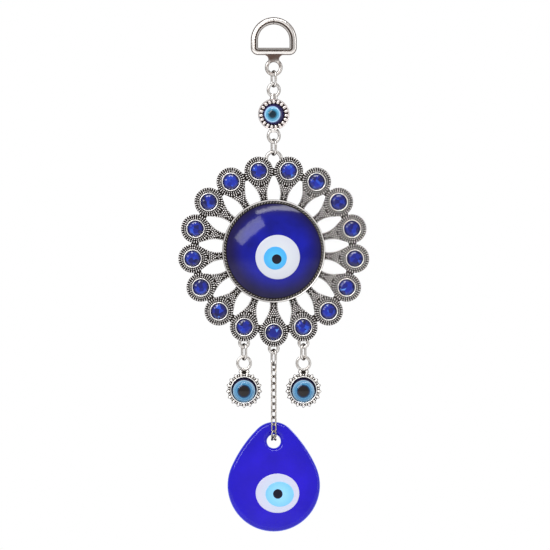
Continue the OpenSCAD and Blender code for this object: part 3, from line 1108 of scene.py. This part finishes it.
@dataclass
class Charm:
    """A side charm: ring, neck with two balls, scalloped border, bezel and eye bead."""

    metals: Metals
    name: str
    x: float
    ring_z: float = -108.43
    z: float = -116.955
    ring_r: float = 1.975
    ring_w: float = 0.65
    ring_band: float = 0.88
    bead_r: float = 4.0
    scallops: int = 17

    def setting(self) -> Piece:
        """Returns: the back plate with its scalloped border, face up about the disc's centre."""
        plate = turned("charm_plate", rounded(5.24, -1.0, 0.4, 0.3), 64)
        steps = [FULL_TURN * (k + 0.5) / self.scallops for k in range(self.scallops)]
        places = [spot(5.0 * math.sin(a), 5.0 * math.cos(a), 0.3, -a) for a in steps]
        outer = repeated(ball("scallop", 0.66, (0.78, 1.16, 0.95)), places, "charm_scallops")
        between = [a + math.pi / self.scallops for a in steps]
        gaps = [spot(4.85 * math.sin(a), 4.85 * math.cos(a), 0.66) for a in between]
        inner = repeated(grain_ball(0.3, 1.1), gaps, "charm_grains")
        return joined("charm_setting", [plate, outer, inner])

    def bezel(self) -> Piece:
        """Returns: the polished ring round the bead."""
        r = self.bead_r
        profile = [(r - 0.1, 0.3), (r, 1.2), (r + 0.08, 1.38), (r + 0.2, 1.44),
                   (r + 0.34, 1.38), (r + 0.44, 1.2), (r + 0.5, 0.5), (r - 0.1, 0.3)]
        return smooth(turned("charm_bezel", profile, 72), 60)

    def neck(self) -> Piece:
        """Returns: the short neck and its two balls, about the disc's centre."""
        rise = self.ring_z - self.ring_r - self.z
        middle = (0, rise - 0.55, -0.15)
        block = begin("charm_neck", bpy.ops.mesh.primitive_cube_add, size=1, location=middle)
        stretch((1.9, 1.5, 0.9), middle)
        bpy.ops.mesh.bevel(offset=0.2, segments=2)
        end()
        sides = [spot(side * 1.1, rise - 0.72, 0.25) for side in (-1, 1)]
        balls = repeated(ball("neck_ball", 0.62, (1, 1, 1), (16, 9)), sides, "neck_balls")
        return joined("charm_neck", [smooth(block), balls])

    def build(self) -> None:
        """Builds and places the charm."""
        body = f"{self.name}_charm"
        inner = self.ring_r - self.ring_w / 2 - 0.02
        middle = inner + self.ring_band / 2
        ring = wire_ring(f"{self.name}_charm_ring", middle, self.ring_band / 2, (56, 14),
                         (1, 1, 0.8))
        smooth(stand(ring, self.x, self.ring_z), ALL_SOFT)
        place_on(ring, self.metals.wire, body)
        setting = joined(f"{self.name}_charm_setting", [self.setting(), self.neck()])
        stand(setting, self.x, self.z)
        place_on(setting, self.metals.setting, body, [f"{self.name}_charm"])
        bezel = stand(self.bezel(), self.x, self.z)
        bezel.name = f"{self.name}_charm_bezel"
        place_on(bezel, self.metals.rim, body)
        profile = dome_profile(self.bead_r - 0.01, 2.3, 0.55, 12, 0.33)
        bead = smooth(stand(turned(f"{self.name}_eye_bead", profile, 64), self.x, self.z), 50)
        pupil = (self.x, 0, self.z - 0.42)
        finish = EyeRings(f"{self.name}_bead_finish", pupil, self.bead_r, BEAD_RINGS)
        place_on(bead, finish.material(), body, [f"{self.name}_bead"])


@dataclass
class Connector:
    """The small round link piece with an eye bead, an eye loop above and below."""

    metals: Metals
    z: float = -28.8
    radius: float = 4.85
    claws: int = 19
    top_wire: float = -18.97
    low_wire: float = -37.75
    loop_r: float = 1.7
    wire: float = 0.45

    def setting(self) -> Piece:
        """Returns: the disc with its plain rim, face up about its centre."""
        profile = [(0, -1.0), (4.8, -1.0), (4.96, -0.8), (5.0, 0.8), (4.94, 1.0), (4.8, 1.1),
                   (4.66, 1.04), (4.58, 0.9), (4.5, 0.5), (0, 0.5)]
        disc = smooth(turned("connector_disc", profile, 80), 50)
        turns = [FULL_TURN * k / self.claws for k in range(self.claws)]
        places = [spot(4.06 * math.sin(a), 4.06 * math.cos(a), 0.76, -a) for a in turns]
        claws = repeated(ball("claw", 0.56, (1.0, 1.45, 1.0)), places, "claws")
        return joined("connector_setting_shape", [disc, claws])

    def necks(self) -> Piece:
        """Returns: the two short necks between the disc and its eyes."""
        made = []
        for wire, sign in ((self.top_wire, 1), (self.low_wire, -1)):
            loop_edge = wire - self.z - sign * 2 * self.loop_r
            rim = sign * (self.radius - 0.2)
            height = abs(loop_edge - rim) + 0.5
            middle = (loop_edge + rim) / 2
            block = begin("connector_neck", bpy.ops.mesh.primitive_cylinder_add, vertices=24,
                          radius=1.35, depth=height, location=(0, middle, 0),
                          rotation=(math.pi / 2, 0, 0))
            stretch((1, 1, 0.6), (0, middle, 0))
            pick(block, lambda co, level=middle, s=sign: (co.y - level) * s > 0)
            stretch((0.6, 1, 0.62), (0, middle, 0))
            end()
            made.append(smooth(block))
        return joined("connector_necks", made)

    def build(self) -> None:
        """Builds and places the connector."""
        for name, level in (("connector_eye_top", self.top_wire - self.loop_r),
                            ("connector_eye_low", self.low_wire + self.loop_r)):
            ring = wire_ring(name, self.loop_r, self.wire, (48, 14), (1.04, 1.16, 1.12))
            lean = 0.16 * (self.loop_r + self.wire)
            smooth(stand(ring, 0, level - lean if level > self.z else level + lean), ALL_SOFT)
            place_on(ring, self.metals.wire, "connector")
        setting = stand(self.setting(), 0, self.z)
        setting.name = "connector_casting"
        place_on(setting, self.metals.claws, "connector", ["connector_setting"])
        necks = stand(self.necks(), 0, self.z)
        place_on(necks, self.metals.wire, "connector")
        bead = turned("connector_eye_bead", dome_profile(3.3, 1.7, 0.8, 10, 0.3), 56)
        smooth(stand(bead, 0, self.z), 50)
        pupil = (-0.4, 0, self.z)
        finish = EyeRings("connector_bead_finish", pupil, 3.3, CONNECTOR_RINGS)
        place_on(bead, finish.material(), "connector", ["connector_bead"])


@dataclass
class HangingRing:
    """The D-shaped ring: a ridged band bent round, its neck and its eye."""

    metals: Metals
    width: float = 14.7
    band: float = 2.3
    opening: float = 7.65
    eye_wire: float = -16.04
    eye_r: float = 2.26
    eye_thick: float = 0.59

    def section(self) -> list[Point]:
        """Returns: the band's (outwards, front) section: inner ridge, groove and outer crest."""
        w = self.band / 2
        return [(-w, -0.6), (-w, 0.2), (-1.04, 0.62), (-0.84, 0.86), (-0.6, 0.86), (-0.42, 0.5),
                (-0.24, 0.5), (-0.08, 0.86), (0.25, 1.08), (0.62, 1.0), (0.88, 0.78),
                (1.06, 0.42), (w, -0.05), (w, -0.6), (w - 0.35, -1.05), (0.35 - w, -1.05),
                (-w, -0.6)]

    def hoop(self) -> Piece:
        """Returns: the band carried round the D, lying face up about the origin of the part."""
        r = (self.width - self.band) / 2
        top = -(r - self.band / 2)
        low = -self.opening - self.band / 2 + 0.15
        corner = 1.2
        points = [(r + out, low + corner, front) for out, front in self.section()]
        obj = outline("hoop", points)
        bpy.ops.mesh.remove_doubles(threshold=1e-4)
        extrude(0, top - low - corner, 0)
        bend(28, -math.pi, 0, top)
        extrude(0, -(top - low - corner), 0)
        bend(8, -math.pi / 2, -r + corner, low + corner)
        extrude(2 * r - 2 * corner, 0, 0)
        bend(8, -math.pi / 2, r - corner, low + corner)
        end()
        return obj

    def neck(self) -> Piece:
        """Returns: the flared neck below the bar."""
        low = -self.opening - self.band + 0.15
        rows = ((low + 0.9, 3.1), (low - 0.05, 2.7), (low - 0.45, 2.05), (low - 1.1, 1.72),
                (low - 2.2, 1.75))
        obj = begin("hanger_neck", bpy.ops.mesh.primitive_plane_add, size=2, location=(0, 0, 0))
        quarter_turn()
        stretch((rows[0][1], 1, 0.8), (0, 0, 0))
        bpy.ops.transform.translate(value=(0, rows[0][0], 0))
        for (last, wide), (here, narrow) in zip(rows, rows[1:]):
            extrude(0, here - last, 0)
            stretch((narrow / wide, 1, 1), (0, here, 0))
        end()
        return obj

    def build(self) -> None:
        """Builds the band, and the neck and eye as one softened piece, and places them."""
        eye = wire_ring("hanger_eye", self.eye_r, self.eye_thick, (48, 16), (1, 1, 1.02))
        eye.data.transform(spot(0, self.eye_wire + self.eye_r))
        shank = joined("hanger_shank", [self.neck(), eye])
        finish_with(shank, "REMESH", mode="VOXEL", voxel_size=0.12, adaptivity=0.0)
        finish_with(shank, "SMOOTH", factor=0.5, iterations=6)
        hoop = self.hoop()
        cutter = begin("seam", bpy.ops.mesh.primitive_cube_add, size=1)
        stretch((0.15, 3.2, 1.6), (0, 0, 0))
        bpy.ops.transform.translate(value=(0, 1.15, 1.3))
        end()
        finish_with(hoop, "BOOLEAN", operation="DIFFERENCE", object=cutter, solver="EXACT")
        drop(cutter)
        smooth(stand(hoop), 38)
        place_on(hoop, self.metals.hanger, "hanger", ["hanger_ring"])
        smooth(stand(shank), 60)
        place_on(shank, self.metals.shank, "hanger")


@dataclass
class Drop:
    """The flat glass drop with its hole and its three inlays."""

    top_z: float = -134.5
    ball_z: float = -147.5
    hole_z: float = -133.415
    hole_r: float = 2.2
    half: float = 1.8

    def rim(self) -> list[Point]:
        """Returns: the right half of the outline, from the top round to the bottom."""
        points = []
        for x, z, radius, start, stop, steps in (
                (0, self.top_z, 7.3, 90, 45.2, 8), (-23.04, self.ball_z - 10.2, 40, 44, 25, 8),
                (0, self.ball_z, 14.8, 23.9, -90, 22)):
            angles = [math.radians(start + (stop - start) * k / steps) for k in range(steps + 1)]
            points += [(x + radius * math.cos(a), z + radius * math.sin(a)) for a in angles]
        return points

    def glass(self) -> Piece:
        """Returns: the blue glass with rounded edges and its hole."""
        right = self.rim()
        left = [(-x, z) for x, z in reversed(right[1:-1])]
        obj = outline("drop_blue", [(x, z, -self.half) for x, z in (*right, *left)])
        bpy.ops.mesh.edge_face_add()
        extrude(0, 0, 2 * self.half)
        end()
        drill = begin("drill", bpy.ops.mesh.primitive_cylinder_add, vertices=48,
                      radius=self.hole_r, depth=8, location=(0, self.hole_z, 0))
        end()
        finish_with(obj, "BOOLEAN", operation="DIFFERENCE", object=drill, solver="EXACT")
        drop(drill)
        finish_with(obj, "BEVEL", width=1.5, segments=8, limit_method="ANGLE",
                    angle_limit=math.radians(50), profile=0.5)
        return smooth(stand(obj), 35)

    def inlay(self, name: str, x: float, z: float, across: float, up: float, level: float,
              rise: float) -> Piece:
        """A thin rounded puddle of glass on the face.

        Args:
            name: the piece's name.
            x, z: its middle.
            across, up: its half sizes.
            level: the height of its foot.
            rise: how far it stands over its foot.

        Returns:
            The inlay, placed.
        """
        profile = [(0, level - 0.5), (0.985, level - 0.5), (0.995, level - 0.05),
                   (0.98, level + rise * 0.45), (0.95, level + rise * 0.78),
                   (0.88, level + rise * 0.95), (0.6, level + rise), (0.3, level + rise),
                   (0, level + rise)]
        obj = turned(name, profile, 80)
        alone(obj).scale = (across, up, 1)
        bpy.ops.object.transform_apply(scale=True)
        return smooth(stand(obj, x, z), 50)

    def build(self) -> None:
        """Builds and places the drop."""
        # The drop's lighter blue edge colour is a painted highlight along its rounded rim, and its
        # glow is a painted glow.
        blue = ColouredGlass("ultramarine_glass_finish", (0.018, 0.006, 0.54),
                             (0.012, 0.004, 0.50), (0, 0, self.ball_z), 8, 16, 0.2, 0.1,
                             (0.06, 0.13, 0.75), 0.34).material()
        place_on(self.glass(), blue, "drop", ["drop_glass"])
        # The drop's milk and sky inlays take a painted glow.
        white = ColouredGlass("drop_milk_glass", (0.55, 0.62, 0.77), (0.58, 0.58, 0.74),
                              (1.2, 0, -150), 3, 7, 0.04, 0.1)
        sky = ColouredGlass("drop_sky_glass", (0.27, 0.60, 0.90), (0.19, 0.52, 0.88),
                            (1.9, 0, -150.3), 1, 4.5, 0.08, 0.2)
        black = ColouredGlass("drop_pupil_glass", PUPIL, PUPIL, (1.3, 0, -150.2), 0.5, 1.5, 0.1)
        finishes = [glass.material() for glass in (white, sky, black)]
        for finish, slot, (name, node, *sizes) in zip(finishes, INLAY_SLOTS, (
                ("drop_inlay_white", "drop_white", 1.2, -150.0, 7.05, 6.35, 1.8, 0.16),
                ("drop_inlay_sky", "drop_sky", 1.9, -150.3, 4.6, 4.05, 1.93, 0.14),
                ("drop_inlay_pupil", "drop_pupil", 1.3, -150.2, 1.55, 1.55, 2.05, 0.13))):
            place_on(self.inlay(name, *sizes), finish, "drop", [node])


@dataclass
class Links:
    """The solid wire links, which keep their solid shapes and take their finishes here."""

    metals: Metals

    def build(self) -> None:
        """Dresses every jump link and chain link."""
        jump_links = ("top_link", "lower_link", "left_link", "right_link", "chain_ring")
        for name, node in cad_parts.items():
            if name in jump_links:
                dress_solid(node, self.metals.wire)
                log.info("%s dressed in wire silver", name)
            elif name.startswith(("front_link", "back_link")):
                dress_solid(node, self.metals.fine)
                log.info("%s dressed in chain silver", name)


@dataclass
class Studio:
    """Pale floor, white room, soft lights and the camera."""

    centre: Triple = (0.0004, 0.0, -0.0802)
    distance: float = 2.4
    view_width: float = 0.176
    floor_radius: float = 1.6
    floor_level: float = -0.3
    room_light: float = 0.56

    def floor(self) -> None:
        """Lays a round sheet of paper well below the ornament."""
        obj = begin("floor", bpy.ops.mesh.primitive_circle_add, vertices=96,
                    radius=self.floor_radius, fill_type="NGON",
                    location=(0, 0, self.floor_level))
        bpy.ops.mesh.inset(thickness=0.3, depth=0)
        bpy.ops.object.mode_set(mode="OBJECT")
        dress(obj, PaleFloor("pale_paper", (0.86, 0.86, 0.86)).material())

    def room(self) -> None:
        """Sets the even light of a white room, which stands behind the ornament as plain white."""
        world = bpy.data.worlds.new("room")
        bpy.context.scene.world = world
        world.use_nodes = True
        tree = world.node_tree
        back = tree.nodes["Background"]
        back.inputs["Color"].default_value = (1.0, 1.0, 1.0, 1.0)
        seen = tree.nodes.new("ShaderNodeLightPath")
        power = tree.nodes.new("ShaderNodeMapRange")
        power.inputs["To Min"].default_value = self.room_light
        power.inputs["To Max"].default_value = 1.0
        tree.links.new(seen.outputs["Is Camera Ray"], power.inputs["Value"])
        tree.links.new(power.outputs[0], back.inputs["Strength"])

    def lamp(self, name: str, place: Triple, size: Point, power: float, turn: float = 0) -> None:
        """Adds a soft lamp aimed at the ornament.

        Args:
            name, place: the lamp's own.
            size: its width and height.
            power: its watts.
            turn: its roll, in degrees.
        """
        light = bpy.data.lights.new(name, "AREA")
        light.shape = "RECTANGLE"
        light.size, light.size_y = size
        light.energy = power
        lamp = bpy.data.objects.new(name, light)
        lamp.location = place
        aim = Vector(self.centre) - Vector(place)
        roll = Matrix.Rotation(math.radians(turn), 4, "Z")
        lamp.rotation_euler = (aim.to_track_quat("-Z", "Y").to_matrix().to_4x4() @ roll).to_euler()
        bpy.context.scene.collection.objects.link(lamp)

    def camera(self) -> None:
        """Sets a long lens square to the front."""
        data = bpy.data.cameras.new("view")
        data.sensor_width = 36.0
        data.lens = 36.0 * self.distance / self.view_width
        data.clip_end = 50
        camera = bpy.data.objects.new("view", data)
        x, y, z = self.centre
        camera.location = (x, y - self.distance, z)
        camera.rotation_euler = (math.pi / 2, 0, 0)
        bpy.context.scene.collection.objects.link(camera)
        bpy.context.scene.camera = camera

    def build(self) -> None:
        """Sets the whole stage."""
        self.floor()
        self.lamp("key", (-0.43, -0.60, 0.30), (0.24, 0.60), 2.7, -40)
        self.lamp("fill", (1.1, -0.35, 0.1), (0.3, 0.9), 2.0)
        self.lamp("top", (0.08, -0.50, 0.77), (0.95, 0.10), 3.0)
        self.lamp("behind", (0.7, 0.9, 0.5), (0.5, 0.5), 2.2)
        self.room()
        bpy.context.scene.view_settings.view_transform = "Standard"
        bpy.context.scene.view_settings.look = "None"
        self.camera()


def main() -> None:
    """Builds the ornament from the top down, then its stage."""
    logging.basicConfig(level=logging.INFO, format="%(message)s")
    metals = Metals.mixed()
    HangingRing(metals).build()
    Connector(metals).build()
    Hub(metals).build()
    Petal(metals).build()
    CentreEye().build()
    for name, x in (("left", -9.5), ("right", 9.5)):
        Charm(metals, name, x).build()
    Links(metals).build()
    Drop().build()
    Studio().build()


if __name__ == "__main__":
    main()
